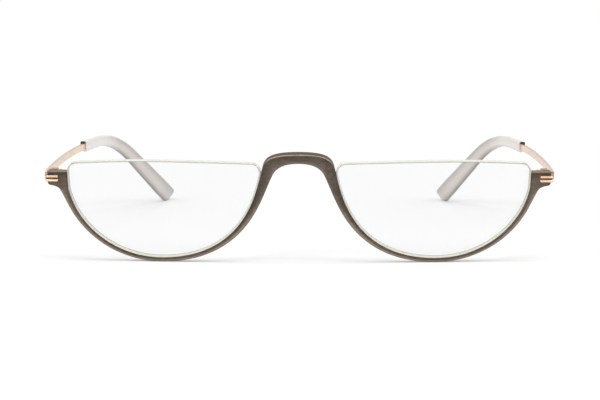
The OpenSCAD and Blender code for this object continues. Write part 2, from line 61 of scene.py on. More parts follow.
RIM_DEPTH = 2.6
TOP_FALL_NOSE = 0.9  # from the crown of a lens to its nose corner
TOP_FALL_OUTER = 1.6
LENS_CORNER_R = 2.4
LENS_T = 2.1
LENS_R = 140.0
LENS_RECESS = 0.35
LENS_FIT = 0.05
SEAT_FIT = 0.03
GROOVE_W = 0.6
GROOVE_DEPTH = 0.5
RIM_CHANNEL = 0.35
CORD_D = 0.45
LEAN = math.radians(8)
WRAP = math.radians(4)
CLIP_T = 0.4
CLIP_H = 1.85
CLIP_LEN = 3.0
CLIP_BACK_LEN = 3.7
CLIP_DROP = 1.75
CLIP_BAR_R = 0.34
CLIP_BEND_R = 0.25
BAR_H = 2.15
BAR_T = 0.85
BAR_START = 2.2
CORE_END = 138.0  # end of the bar inside the soft tip
TEMPLE_LEN = 147.0
BEND_START = 80.5
BEND_END = 110.5
TEMPLE_RISE = 1.8
TEMPLE_DROP = 29.15
SPLAY = 3.8
TUCK = 18.8
TIP_START = 67.5
TIP_H = 3.5
TIP_END_H = 6.5
TIP_T = 2.1
END_SLANT = 0.85
TRIM_LEN = 0.9
TEMPLE_FROM = (70.35, 4.93952, 23.4574)  # middle of the temple beside its hinge

# From the front's own plane to the shared frame
REST_Z = -0.1626
MID_Y = 71.0506

SIDES = (("left", -1), ("right", 1))


# Small helpers for curves and points
def bezier(p, t):
    p = np.asarray(p, float)
    return (
        (1 - t) ** 3 * p[0] + 3 * (1 - t) ** 2 * t * p[1]
        + 3 * (1 - t) * t * t * p[2] + t**3 * p[3]
    )


def bezier_slope(p, t):
    p = np.asarray(p, float)
    return (
        3 * (1 - t) ** 2 * (p[1] - p[0]) + 6 * (1 - t) * t * (p[2] - p[1])
        + 3 * t * t * (p[3] - p[2])
    )


def unit(v):
    v = np.asarray(v, float)
    return v / np.linalg.norm(v)


def lookup(s, table):
    """The value at s in a table of places and values, even between its rows."""
    return float(np.interp(s, [row[0] for row in table], [row[1] for row in table]))


def share_between(x, low, high):
    """0 up to low, 1 from high on, and in proportion between them."""
    return min(max((x - low) / (high - low), 0), 1)


def in_front(p):
    """A point of the front's own plane, as x, depth and height, in the shared frame."""
    x, y, v = p
    return (
        x,
        y * math.cos(LEAN) - v * math.sin(LEAN) - MID_Y,
        y * math.sin(LEAN) + v * math.cos(LEAN) + REST_Z,
    )


def make_piece(name, rings, side, materials, finish=None, sharp=40, marks=None):
    """A skin over rings of points in millimetres, closed at both ends, mirrored for the left.

    finish(i, j) gives the material between rings i and i + 1 and points j and j + 1, where
    there is more than one. marks holds a name and one value for each point, for a material
    to read. Edges sharper than sharp degrees stay crisp.
    """
    finish = finish or (lambda i, j: materials[0])
    points = [(side * x / 1000, y / 1000, z / 1000) for ring in rings for x, y, z in ring]
    count = len(rings[0])
    last = len(rings) - 1
    faces = []
    finishes = []
    for i in range(last):
        for j in range(count):
            a = i * count + j
            b = i * count + (j + 1) % count
            faces.append((a, b, b + count, a + count))
            finishes.append(finish(i, j))
    for i, ring_start in ((0, 0), (last - 1, last * count)):
        faces.append(tuple(range(ring_start, ring_start + count)))
        finishes.append(finish(i, 0))
    mesh = bpy.data.meshes.new(name)
    mesh.from_pydata(points, [], faces)
    for material in materials:
        mesh.materials.append(material)
    mesh.polygons.foreach_set("material_index", [materials.index(m) for m in finishes])
    outward = bmesh.new()
    outward.from_mesh(mesh)
    bmesh.ops.recalc_face_normals(outward, faces=outward.faces)
    outward.to_mesh(mesh)
    outward.free()
    mesh.polygons.foreach_set("use_smooth", [True] * len(mesh.polygons))
    mesh.set_sharp_from_angle(angle=math.radians(sharp))
    for mark, values in (marks or {}).items():
        layer = mesh.attributes.new(mark, "FLOAT", "POINT")
        layer.data.foreach_set("value", values)
    piece = bpy.data.objects.new(name, mesh)
    bpy.context.collection.objects.link(piece)
    return piece


def dress(piece, body, node):
    """The piece rides on its body and stands for its node, whose own mesh is hidden."""
    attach(piece, body)
    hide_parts(node)


# Materials: one function for each
class Nodes:
    """The node tree of a material or world, with short ways to add to it.

    Sockets are named with _ for a space.
    """

    def __init__(self, owner, out="ShaderNodeOutputMaterial"):
        owner.use_nodes = True
        self.owner = owner
        self.tree = owner.node_tree
        self.tree.nodes.clear()
        self.out = self.add(out)

    def add(self, kind, **settings):
        node = self.tree.nodes.new(kind)
        for key, value in settings.items():
            setattr(node, key, value)
        return node

    def link(self, a, b):
        self.tree.links.new(a, b)

    def fill(self, node, **values):
        """Plain values on a node's own sockets."""
        for key, value in values.items():
            node.inputs[key.replace("_", " ")].default_value = value

    def feed(self, node, **patterns):
        """Patterns into a node's sockets."""
        for key, pattern in patterns.items():
            self.link(pattern, node.inputs[key.replace("_", " ")])

    def principled(self, colour, roughness, **values):
        """A shader whose plain colour and roughness stand in where no pattern is read."""
        shader = self.add("ShaderNodeBsdfPrincipled")
        self.fill(shader, Base_Color=(*colour, 1), Roughness=roughness, **values)
        self.link(shader.outputs["BSDF"], self.out.inputs["Surface"])
        return shader

    def noise(self, scale, stretch=(1, 1, 1), detail=3.0, rough=0.55):
        """Noise in the object's own metres, stretched along an axis by a small factor there."""
        place = self.add("ShaderNodeTexCoord")
        fit = self.add("ShaderNodeMapping")
        noise = self.add("ShaderNodeTexNoise")
        self.fill(fit, Scale=stretch)
        self.fill(noise, Scale=scale, Detail=detail, Roughness=rough)
        self.feed(fit, Vector=place.outputs["Object"])
        self.feed(noise, Vector=fit.outputs["Vector"])
        return noise.outputs["Fac"]

    def mark(self, name):
        """A mark along the mesh, as make_piece leaves it."""
        return self.add("ShaderNodeAttribute", attribute_name=name).outputs["Fac"]

    def mean(self, share, a, b):
        """Pattern a, moved towards pattern b by a plain share."""
        node = self.add("ShaderNodeMix", data_type="FLOAT")
        node.inputs[0].default_value = share
        self.link(a, node.inputs[2])
        self.link(b, node.inputs[3])
        return node.outputs[0]

    def blend(self, share, a, b):
        """Colour a, moved towards colour b by a share that follows a pattern."""
        node = self.add("ShaderNodeMix", data_type="RGBA")
        self.link(share, node.inputs[0])
        self.link(a, node.inputs[6])
        if isinstance(b, tuple):
            node.inputs[7].default_value = (*b, 1)
        else:
            self.link(b, node.inputs[7])
        return node.outputs[2]

    def ramp(self, value, stops):
        node = self.add("ShaderNodeValToRGB")
        while len(node.color_ramp.elements) < len(stops):
            node.color_ramp.elements.new(0.5)
        for element, (place, colour) in zip(node.color_ramp.elements, stops):
            element.position = place
            element.color = (*colour, 1)
        self.link(value, node.inputs["Fac"])
        return node.outputs["Color"]

    def span(self, value, low, high):
        """A pattern from 0 to 1, moved to run from low to high."""
        node = self.add("ShaderNodeMapRange")
        self.fill(node, To_Min=low, To_Max=high)
        self.feed(node, Value=value)
        return node.outputs["Result"]

    def maths(self, operation, *values, clamp=False):
        """The result of an operation on patterns and plain numbers."""
        node = self.add("ShaderNodeMath", operation=operation, use_clamp=clamp)
        for socket, value in zip(node.inputs, values):
            if isinstance(value, float):
                socket.default_value = value
            else:
                self.link(value, socket)
        return node.outputs[0]

    def bump(self, shader, value, strength, distance):
        node = self.add("ShaderNodeBump")
        self.fill(node, Strength=strength, Distance=distance)
        self.feed(node, Height=value)
        self.feed(shader, Normal=node.outputs["Normal"])

    def surface_of_two(self, share, a, b):
        """The surface: shader a, moved towards shader b by a share."""
        node = self.add("ShaderNodeMixShader")
        self.link(share, node.inputs[0])
        self.link(a.outputs[0], node.inputs[1])
        self.link(b.outputs[0], node.inputs[2])
        self.feed(self.out, Surface=node.outputs[0])

    def seen(self):
        """1 where it is seen straight, through glass or in gloss, 0 where it only gives light."""
        path = self.add("ShaderNodeLightPath")
        indirect = self.maths(
            "MAXIMUM", path.outputs["Is Glossy Ray"], path.outputs["Is Transmission Ray"]
        )
        return self.maths("MAXIMUM", path.outputs["Is Camera Ray"], indirect)


def front_plastic():
    """Brushed satin taupe with fine streaks along the front, and painted light and a painted
    highlight on its edges.
    """
    n = Nodes(bpy.data.materials.new("front_taupe"))
    shader = n.principled(
        (0.08, 0.064, 0.049), 0.34, Metallic=0.75, Specular_Tint=(0.55, 0.46, 0.37, 1)
    )
    streaks = n.noise(5200, stretch=(0.06, 1, 1), detail=2.0)
    clouds = n.noise(800, stretch=(0.6, 1, 1), rough=0.7)
    both = n.mean(0.6, streaks, clouds)
    plain = n.ramp(both, [
        (0.34, (0.053, 0.041, 0.033)),
        (0.5, (0.075, 0.060, 0.048)),
        (0.66, (0.104, 0.086, 0.070)),
    ])
    # A lighter copy of the taupe, for painted light
    painted_light = n.ramp(both, [
        (0.34, (0.21, 0.164, 0.125)),
        (0.5, (0.27, 0.211, 0.163)),
        (0.66, (0.33, 0.261, 0.205)),
    ])
    n.feed(
        shader,
        Base_Color=n.blend(n.mark("painted_light"), plain, painted_light),
        Roughness=n.span(streaks, 0.26, 0.42),
    )
    n.bump(shader, streaks, strength=0.25, distance=0.00003)
    return n.owner


def rose_gold(name, stretch, smooth, rough, painted_shade):
    """Satin rose-gold plating, brushed along the part, with painted shade along one edge."""
    n = Nodes(bpy.data.materials.new(name))
    shader = n.principled((0.78, 0.58, 0.47), 0.24, Metallic=1.0)
    streaks = n.noise(6000, stretch=stretch, detail=2.0)
    clouds = n.noise(420, detail=2.0)
    colour = n.ramp(clouds, [(0.3, (0.80, 0.585, 0.43)), (0.7, (0.88, 0.67, 0.505))])
    # The edge mark blends in a dark colour as painted shade
    n.feed(
        shader,
        Base_Color=n.blend(n.mark("edge"), colour, painted_shade),
        Roughness=n.span(streaks, smooth, rough),
    )
    n.bump(shader, streaks, strength=0.2, distance=0.00002)
    return n.owner


def hinge_metal():
    """Copper-dark rose gold as painted shade, on the hinge, its screw, the rivet and the bar's
    front end.
    """
    n = Nodes(bpy.data.materials.new("hinge_copper_painted_shade"))
    shader = n.principled((0.50, 0.31, 0.19), 0.3, Metallic=1.0)
    clouds = n.noise(700)
    n.feed(
        shader,
        Base_Color=n.ramp(clouds, [(0.3, (0.42, 0.25, 0.15)), (0.7, (0.60, 0.39, 0.25))]),
        Roughness=n.span(clouds, 0.2, 0.42),
    )
    n.bump(shader, clouds, strength=0.2, distance=0.00002)
    return n.owner


def copper_shadow():
    """Painted shade: copper darkened in the recess between the clip's bars."""
    n = Nodes(bpy.data.materials.new("copper_recess_painted_shade"))
    shader = n.principled((0.20, 0.075, 0.028), 0.4, Metallic=0.9)
    clouds = n.noise(900, stretch=(0.4, 1, 1))
    n.feed(
        shader,
        Base_Color=n.ramp(clouds, [(0.3, (0.11, 0.04, 0.016)), (0.7, (0.30, 0.12, 0.05))]),
        Roughness=n.span(clouds, 0.3, 0.5),
    )
    return n.owner


def lens_clear():
    """Clear lens: sees through straight, mirrors a little, with a faint haze and wipe marks."""
    n = Nodes(bpy.data.materials.new("lens_clear"))
    through = n.add("ShaderNodeBsdfTransparent")
    n.fill(through, Color=(0.971, 0.972, 0.972, 1))
    gloss = n.add("ShaderNodeBsdfGlossy")
    n.fill(gloss, Color=(0.9, 0.92, 0.92, 1), Roughness=0.03)
    wipes = n.noise(90, stretch=(1, 1, 0.35))
    n.feed(gloss, Roughness=n.span(wipes, 0.015, 0.06))
    tilt = n.add("ShaderNodeLayerWeight")
    n.fill(tilt, Blend=0.5)
    steep = n.maths("POWER", tilt.outputs["Facing"], 5.0)
    path = n.add("ShaderNodeLightPath")
    # The gloss casts no shadow
    gloss_share = n.maths(
        "SUBTRACT", n.span(steep, 0.035, 0.9), path.outputs["Is Shadow Ray"], clamp=True
    )
    n.surface_of_two(gloss_share, through, gloss)
    return n.owner


def ground_edge(name, light, dark, roughness):
    """Ground edge of the lens: pale, matt and slightly green, with fine grinding marks."""
    n = Nodes(bpy.data.materials.new(name))
    shader = n.principled(light, roughness)
    marks = n.noise(3800, stretch=(1, 0.1, 1), detail=2.0)
    n.feed(shader, Base_Color=n.ramp(marks, [(0.3, dark), (0.65, light)]))
    n.bump(shader, marks, strength=0.3, distance=0.00002)
    return n.owner


def nylon():
    """Clear nylon line, a little milky."""
    n = Nodes(bpy.data.materials.new("nylon"))
    shader = n.principled((0.88, 0.87, 0.78), 0.3)
    clouds = n.noise(1500, detail=2.0)
    n.feed(
        shader,
        Base_Color=n.ramp(clouds, [(0.3, (0.80, 0.79, 0.70)), (0.7, (0.92, 0.91, 0.84))]),
        Roughness=n.span(clouds, 0.22, 0.4),
    )
    return n.owner


def soft_tip():
    """Soft translucent tip, with the rosy core showing through its middle: painted shade darkens
    its top and bottom edges and painted light brightens its middle.

    The ramps run up the tip's height, for its level start, its slope and its end; the start is
    lightest and the end greyer.
    """
    n = Nodes(bpy.data.materials.new("soft_tip"))
    shader = n.principled(
        (0.60, 0.56, 0.54), 0.3, Transmission_Weight=0.2, IOR=1.45, Coat_Weight=0.15
    )
    fine = n.noise(1500, detail=2.0)
    height = n.maths("MULTIPLY_ADD", fine, 0.02, n.span(n.mark("rise"), -0.01, 0.99))
    # Dark ends of each ramp are painted shade on the edges, light middles painted light
    slope = n.ramp(height, [
        (0.02, (0.25, 0.215, 0.19)),
        (0.07, (0.36, 0.315, 0.28)),
        (0.13, (0.66, 0.60, 0.56)),
        (0.25, (0.77, 0.705, 0.665)),
        (0.45, (0.84, 0.76, 0.71)),
        (0.62, (0.76, 0.69, 0.64)),
        (0.82, (0.54, 0.495, 0.45)),
        (1.0, (0.58, 0.54, 0.49)),
    ])
    start = n.ramp(height, [
        (0.05, (1.0, 1.0, 0.985)),
        (0.5, (1.0, 0.965, 0.93)),
        (0.78, (0.93, 0.87, 0.815)),
        (0.95, (0.76, 0.715, 0.66)),
    ])
    end = n.ramp(height, [
        (0.03, (0.40, 0.37, 0.34)),
        (0.10, (0.62, 0.59, 0.565)),
        (0.45, (0.71, 0.675, 0.65)),
        (0.68, (0.62, 0.595, 0.575)),
        (0.9, (0.50, 0.48, 0.46)),
    ])
    colour = n.blend(n.mark("fall"), start, slope)
    n.feed(
        shader,
        Base_Color=n.blend(n.mark("far"), colour, end),
        Roughness=n.span(fine, 0.24, 0.38),
    )
    n.bump(shader, fine, strength=0.1, distance=0.00003)
    return n.owner


def dark_trim():
    """Dark satin with a fine grain, for the cap ahead of the soft tip."""
    n = Nodes(bpy.data.materials.new("dark_trim"))
    shader = n.principled((0.03, 0.028, 0.026), 0.45, Metallic=0.25)
    grain = n.noise(3000)
    n.feed(
        shader,
        Base_Color=n.ramp(grain, [(0.3, (0.01, 0.009, 0.008)), (0.7, (0.03, 0.027, 0.025))]),
        Roughness=n.span(grain, 0.36, 0.55),
    )
    n.bump(shader, grain, strength=0.3, distance=0.00003)
    return n.owner


M_FRONT = front_plastic()
# The last colour of each rose gold is painted shade on the upper edges of the bar and clip
M_METAL = rose_gold("rose_gold", (1, 0.05, 1), 0.16, 0.36, (0.56, 0.42, 0.34))
M_METAL_SMALL = rose_gold("rose_gold_small", (0.2, 1, 1), 0.26, 0.44, (0.27, 0.22, 0.15))
M_HINGE_PAINTED_SHADE = hinge_metal()
M_COPPER_PAINTED_SHADE = copper_shadow()
M_LENS = lens_clear()
M_EDGE = ground_edge("lens_edge", (0.86, 0.85, 0.77), (0.76, 0.75, 0.68), 0.3)
# Darker copies of the edge's finish: painted shade in the groove, a painted dark reflection on
# the back bevel
M_BEVEL = ground_edge("lens_bevel", (0.48, 0.48, 0.43), (0.40, 0.40, 0.355), 0.3)
M_GROOVE = ground_edge("lens_groove", (0.34, 0.34, 0.30), (0.28, 0.28, 0.245), 0.35)
M_TOP_EDGE = ground_edge("lens_top_edge", (0.68, 0.685, 0.615), (0.58, 0.585, 0.52), 0.4)
M_TOP_BEVEL = ground_edge("lens_top_bevel", (0.53, 0.54, 0.465), (0.43, 0.44, 0.37), 0.4)
M_NYLON = nylon()
M_TIP = soft_tip()
M_TRIM = dark_trim()

# Shape of the front, with the curves of the part: the lens-side edge of the rim runs from
# the bridge's leg down to the lowest point, then out and up to the neck
NOSE_EDGE = [
    (NOSE_X, LEG_V),
    (NOSE_X + 0.124 * (LOW_X - NOSE_X), (LOW_V + LEG_V) / 2 - 6.85),
    (LOW_X - 0.435 * (LOW_X - NOSE_X), LOW_V),
    (LOW_X, LOW_V),
]
OUTER_EDGE = [
    (LOW_X, LOW_V),
    (LOW_X + 0.51 * (SIDE_X - LOW_X), LOW_V),
    (SIDE_X - 1.75, (LOW_V + NECK_V) / 2 - 1),
    (SIDE_X - 0.05, NECK_V),
]
# Share of the outer curve at which the lug begins
NECK_T = 0.973
NECK_END_V = bezier(OUTER_EDGE, NECK_T)[1]
# Shares at which the rim's rings stand along the two curves
NOSE_SHARES = np.linspace(0, 1, 67)
OUTER_SHARES = NECK_T * np.linspace(0, 1, 61)[1:]

SIDE_TOP = np.array([SIDE_X + 0.02, LUG_TOP_V])
NOSE_TOP = (NOSE_X + 0.15, LENS_TOP_V - TOP_FALL_NOSE)
OUTER_TOP = (SIDE_TOP[0], LENS_TOP_V - TOP_FALL_OUTER)
CROWN_X = (NOSE_TOP[0] + OUTER_TOP[0]) / 2
LENS_MID_V = LOW_V + 13.6  # height of the middle of the lens's curve
SPHERE_X = (NOSE_X + SIDE_X) / 2 - LENS_R * math.sin(WRAP)
SPHERE_Y = LENS_RECESS + LENS_R * math.cos(WRAP)
GROOVE_MID_R = LENS_R - LENS_T / 2


def lens_y(x, v, r=LENS_R):
    """Depth of the lens's front surface, or of one parallel to it with another radius."""
    return SPHERE_Y - math.sqrt(r * r - (x - SPHERE_X) ** 2 - (v - LENS_MID_V) ** 2)


def face_y(x, v):
    """Depth of the front's face, which follows the lens and bows forward at the bridge."""
    bow = BRIDGE_BOW * (1 - (x / NOSE_X) ** 2) if x < NOSE_X else 0
    x = min(max(x, NOSE_X), SIDE_X)
    if x > SIDE_X - 0.5:
        v = min(v, NECK_END_V)
    return lens_y(x, v) - LENS_RECESS - bow


def arch_v(x):
    """Height of the lens's open top edge."""
    nose_side = x < CROWN_X
    fall = TOP_FALL_NOSE if nose_side else TOP_FALL_OUTER
    reach = CROWN_X - (NOSE_TOP[0] if nose_side else OUTER_TOP[0])
    return LENS_TOP_V - fall * ((x - CROWN_X) / reach) ** 2


def corner(tip, way, points=13):
    """Top corner of the lens from its side to the arch; way is 1 for nose, -1 for outer."""
    out = []
    for a in np.linspace(0, math.pi / 2, points):
        x = tip[0] + way * LENS_CORNER_R * (1 - math.cos(a))
        out.append((x, arch_v(x) - LENS_CORNER_R * (1 - math.sin(a))))
    return out


def lens_outline(nose_points=57, outer_points=51, arch_points=42):
    """Edge of the lens: down its nose side, up its outer side and back over its open top."""
    corner_v = corner(NOSE_TOP, 1)[0][1]
    nose = [bezier(NOSE_EDGE, t) for t in np.linspace(0, 1, nose_points)]
    # The nose side's curve runs on past the corner, so its last points are left out
    nose = [p for p in nose if p[1] < corner_v - 0.1]
    outer = [bezier(OUTER_EDGE, NECK_T * t) for t in np.linspace(0, 1, outer_points)[1:]]
    first = NOSE_TOP[0] + LENS_CORNER_R
    last = OUTER_TOP[0] - LENS_CORNER_R
    arch = [(x, arch_v(x)) for x in np.linspace(first, last, arch_points)[1:-1]]
    top = corner(NOSE_TOP, 1) + arch + corner(OUTER_TOP, -1)[::-1]
    return [np.array(p, float) for p in nose + outer + top[::-1]]


def inset(loop, d):
    """The loop moved inwards by d."""
    out = []
    for i, p in enumerate(loop):
        way = unit(loop[(i + 1) % len(loop)] - loop[i - 1])
        out.append(p + d * np.array([-way[1], way[0]]))
    return out


# Front frame: one sweep of a rounded section with the nylon's channel
BRIDGE_BLEND = 2.0  # how far past the lens's nose side the bridge's depth runs out
RIM_ROUND = 0.3  # radius of the section's plain corners
# Radius of its upper front edge, fuller over the bridge, from the middle outwards
EDGE_ROUNDS = [(0.8 * NOSE_X, 0.5), (0.98 * NOSE_X, RIM_ROUND)]
FACE_ROUND = 1.1  # width of the full curve on the section's outer front edge, at most
FACE_ROUND_SHARE = 0.6  # and as a share of the section's width
FACE_ROUND_DEPTH = 0.45
NO_CHANNEL = 0.002  # depth that stands for no channel, for as many points in each ring
LUG_SWEEP = 0.28  # share of the lens's side beside which the sweep into the lug runs
LUG_CORNER = 0.2  # and the lug's rounded lower corner
LUG_CORNER_STEPS = 8

# Painted light on the front's face, lighter towards its outer edge: where it begins and where
# it is full, as shares of the width from the lens side out, and how light it is there
PAINTED_LIGHT_BRIDGE = (0.5, 1.05, 0.75)
PAINTED_LIGHT_RIM = (0.18, 0.58, 1.0)
PAINTED_LIGHT_LEG = (0.33, 1.05, 0.45)
# How bright the painted highlight on the bridge's front upper edge is, from the middle outwards
PAINTED_LIGHT_BRIDGE_EDGE = [(0.84 * NOSE_X, 0.8), (NOSE_X, 0.08)]
# How much of the leg's painted light a rim has at a height
LEG_SHARE = [(LOW_V + 9, 0), (LEG_V - 5, 1)]
# The least painted light on the outer side of a rim, and the even painted light on a lug, at a
# height
PAINTED_LIGHT_OUTER = [(LOW_V + 6, 0.04), (NECK_V - 1, 0.27)]
PAINTED_LIGHT_LUG = [(LUG_TOP_V - 1.7, 0.27), (LUG_TOP_V - 0.9, 0)]


def flare(f, even, n):
    """Growth of a width at a share f of its way: an even part, and a part late and steep."""
    return even * f + (1 - even) * f**n


def leg_width(v):
    return RIM_W + (LEG_W - RIM_W) * flare((v - LOW_V) / (LEG_V - LOW_V), 0.65, 8)


def neck_width(v):
    return RIM_W + (NECK_W - RIM_W) * flare((v - LOW_V) / (NECK_END_V - LOW_V), 0.4, 10)


def edge_pair(edge, t, width):
    """A point of the rim's lens-side edge and the outer point across from it."""
    inner = bezier(edge, t)
    way = unit(bezier_slope(edge, t))
    return inner, inner + width(inner[1]) * np.array([way[1], -way[0]])


def bridge_pairs(leg_out):
    """Points of the bridge's top and arch, from its middle to the outer point of its leg."""
    low_v = BRIDGE_V - BRIDGE_W
    top = [
        (0, BRIDGE_V),
        (0.95 * NOSE_X, BRIDGE_V),
        (NOSE_X - 0.8, BRIDGE_V - 2.3),
        (NOSE_X, LEG_V),
    ]
    arch = [
        (0, low_v),
        (0.57 * leg_out[0], low_v),
        (leg_out[0] - 1, low_v - 1.3),
        tuple(leg_out),
    ]
    return [(bezier(top, t), bezier(arch, t)) for t in np.linspace(0, 1, 31)[1:-1]]


def lug_pairs(neck_in, neck_out):
    """Points up the lens's side, and across from them the sweep, corner and end of the lug."""
    sweep = [
        tuple(neck_out),
        (neck_out[0] + 0.4, LUG_LOW_V - 0.55),
        ((neck_out[0] + LUG_X) / 2 - 0.3, LUG_LOW_V - 0.2),
        (LUG_X - LUG_CORNER_R, LUG_LOW_V),
    ]

    def up_side(f):
        return neck_in + f * (SIDE_TOP - neck_in)

    pairs = [(up_side(LUG_SWEEP * t), bezier(sweep, t)) for t in np.linspace(0, 1, 19)[1:]]
    for step in range(1, LUG_CORNER_STEPS + 1):
        f = step / LUG_CORNER_STEPS
        a = math.radians(90 * f)
        outer = np.array([
            LUG_X - LUG_CORNER_R * (1 - math.sin(a)),
            LUG_LOW_V + LUG_CORNER_R * (1 - math.cos(a)),
        ])
        pairs.append((up_side(LUG_SWEEP + LUG_CORNER * f), outer))
    for f in (0.62, 0.75, 0.9, 0.97, 1):
        pairs.append((up_side(f), np.array([LUG_X, up_side(f)[1]])))
    return pairs


def rim_pairs():
    """Lens-side and outer points of the whole front, from its left end to its right end."""
    nose = [edge_pair(NOSE_EDGE, t, leg_width) for t in NOSE_SHARES]
    outer = [edge_pair(OUTER_EDGE, t, neck_width) for t in OUTER_SHARES]
    right = bridge_pairs(nose[0][1]) + nose + outer + lug_pairs(*outer[-1])
    middle = (np.array([0, BRIDGE_V]), np.array([0, BRIDGE_V - BRIDGE_W]))
    flip = np.array([-1, 1])
    return [(flip * p, flip * q) for p, q in right[::-1]] + [middle] + right


def thickness(x):
    """Depth of the front, from the bridge's at its middle to the rim's."""
    f = min(x / (NOSE_X + BRIDGE_BLEND), 1)
    return BRIDGE_DEPTH + (RIM_DEPTH - BRIDGE_DEPTH) * f * f


def quarter(cx, cy, start, rx, ry, points=5):
    """A quarter of an ellipse, clockwise from an angle in degrees."""
    angles = [math.radians(start - a) for a in np.linspace(0, 90, points)]
    return [(cx + rx * math.cos(a), cy + ry * math.sin(a)) for a in angles]


def rim_section(w, depth, channel, channel_y, edge):
    """Rounded section, its channel on the lens side, its outer front edge one full curve."""
    low = channel_y - GROOVE_W / 2
    high = channel_y + GROOVE_W / 2
    wide = min(FACE_ROUND_SHARE * w, FACE_ROUND)
    r = RIM_ROUND
    return (
        quarter(w - wide, FACE_ROUND_DEPTH, 0, wide, FACE_ROUND_DEPTH, 9)
        + quarter(edge, edge, 270, edge, edge)
        + [(0, low), (channel, low), (channel, high), (0, high)]
        + quarter(r, depth - r, 180, r, r)
        + quarter(w - r, depth - r, 90, r, r)
    )


def painted_light_share(x, v, share, on_edge):
    """How much painted light the front's face takes at a share of its width, from the lens side
    out.

    on_edge is over 0 only on the section's lens-side front edge, the bridge's upper one, where
    the painted highlight runs.
    """
    beside_lens = x > SIDE_X - 1
    # The lug's top face takes full painted light
    if beside_lens and v > LUG_TOP_V - 0.01:
        return 1.0
    if beside_lens and v > NECK_V - 1:
        return lookup(v, PAINTED_LIGHT_LUG)
    if x < NOSE_X and on_edge > 0:
        return on_edge * lookup(x, PAINTED_LIGHT_BRIDGE_EDGE)
    least = 0.0
    low, high, most = PAINTED_LIGHT_BRIDGE
    if x >= NOSE_X:
        leg = lookup(v, LEG_SHARE)
        if x > CROWN_X:
            leg = 0.5 * leg
            least = lookup(v, PAINTED_LIGHT_OUTER)
        low, high, most = [a + leg * (b - a) for a, b in zip(PAINTED_LIGHT_RIM, PAINTED_LIGHT_LEG)]
    f = share_between(share, low, high)
    return least + (most - least) * f * f * (3 - 2 * f)


def front_ring(inner, outer):
    """One ring of the front's skin, and how much painted light it takes at each of its points."""
    w = np.linalg.norm(outer - inner)
    way = (outer - inner) / w
    x, v = abs(inner[0]), inner[1]
    y_in = face_y(x, v)
    y_out = face_y(abs(outer[0]), outer[1])
    # The bridge has none, nor the top of its leg
    has_channel = x > NOSE_X + 0.05 or v < LEG_V - 0.5
    channel = RIM_CHANNEL if has_channel else NO_CHANNEL
    if x < NOSE_X:
        channel_y = LENS_RECESS + LENS_T / 2
    else:
        channel_y = lens_y(min(x, SIDE_X), v, GROOVE_MID_R) - y_in
    edge = lookup(x, EDGE_ROUNDS)
    ring = []
    painted_light = []
    for a, b in rim_section(w, thickness(x), channel, channel_y, edge):
        p = inner + a * way
        ring.append(in_front((p[0], y_in + (y_out - y_in) * a / w + b, p[1])))
        # Full near the lens-side front edge, for the painted highlight on the bridge's upper edge
        on_edge = 2 * max(1 - a / edge, 0) * max(1 - b / edge, 0)
        painted_light.append(painted_light_share(x, v, a / w, on_edge))
    return ring, painted_light


def build_front():
    rings, painted_light = zip(*[front_ring(inner, outer) for inner, outer in rim_pairs()])
    # The mark carries the painted light and highlight to the material
    marks = {"painted_light": [share for row in painted_light for share in row]}
    piece = make_piece("front", rings, 1, [M_FRONT], sharp=50, marks=marks)
    dress(piece, "front", "front_frame")


# Lens: clear faces, a ground edge with the groove, and a fine bevel at front and back
LENS_BEVEL = 0.16
# Sizes of the rings on a lens's face, as shares of its outline
FACE_SHARES = [0.04, 0.15, 0.3, 0.45, 0.6, 0.75, 0.88]
# Finish of the edge from front to back: bevel, land, the groove's three sides, land, bevel; the
# groove's floor darker with painted shade, the back bevel with a painted dark reflection of the
# rim
EDGE_STRIPS = [M_EDGE, M_EDGE, M_EDGE, M_GROOVE, M_EDGE, M_EDGE, M_BEVEL]
TOP_STRIP = 0.35  # how far below the arch the open top's finish reaches
SIDE_STRIP = 4.0  # and how far below the crown the edge is pale all through


def build_lens(name, side):
    outline = lens_outline()
    edge = inset(outline, LENS_FIT)
    face = inset(outline, LENS_FIT + LENS_BEVEL)
    deep = inset(outline, LENS_FIT + GROOVE_DEPTH)
    front_r = GROOVE_MID_R + GROOVE_W / 2
    rear_r = GROOVE_MID_R - GROOVE_W / 2
    back_r = LENS_R - LENS_T

    def ring(r, loop, share=1.0):
        out = []
        for p in loop:
            x = CROWN_X + share * (p[0] - CROWN_X)
            v = LENS_MID_V + share * (p[1] - LENS_MID_V)
            out.append(in_front((x, lens_y(x, v, r), v)))
        return out

    front_rings = [ring(LENS_R, face, share) for share in FACE_SHARES]
    edge_rings = [
        ring(LENS_R, face),
        ring(LENS_R - LENS_BEVEL, edge),
        ring(front_r, edge),
        ring(front_r, deep),
        ring(rear_r, deep),
        ring(rear_r, edge),
        ring(back_r + LENS_BEVEL, edge),
        ring(back_r, face),
    ]
    back_rings = [ring(back_r, face, share) for share in FACE_SHARES[::-1]]

    def finish(i, j):
        strip = i - len(front_rings)
        if not 0 <= strip < len(EDGE_STRIPS):
            return M_LENS
        x, v = outline[j]
        if v > arch_v(x) - TOP_STRIP:
            return M_TOP_BEVEL if strip == 0 else M_TOP_EDGE
        return M_EDGE if v > LENS_TOP_V - SIDE_STRIP else EDGE_STRIPS[strip]

    rings = front_rings + edge_rings + back_rings
    materials = [M_LENS, M_EDGE, M_BEVEL, M_GROOVE, M_TOP_EDGE, M_TOP_BEVEL]
    piece = make_piece(f"lens_{name}_clear", rings, side, materials, finish, sharp=30)
    dress(piece, "front", f"lens_{name}")


# Nylon: a strip in the rim's channel and a round line over the open top
LINER_STAND = 0.3  # how far the strip stands into the lens's groove
LINER_STOP = 1.5  # how far below the neck it ends
CORD_START = 5.0  # how far below the bridge's leg the round line begins


def groove_point(p):
    return np.array([p[0], lens_y(p[0], p[1], GROOVE_MID_R), p[1]])


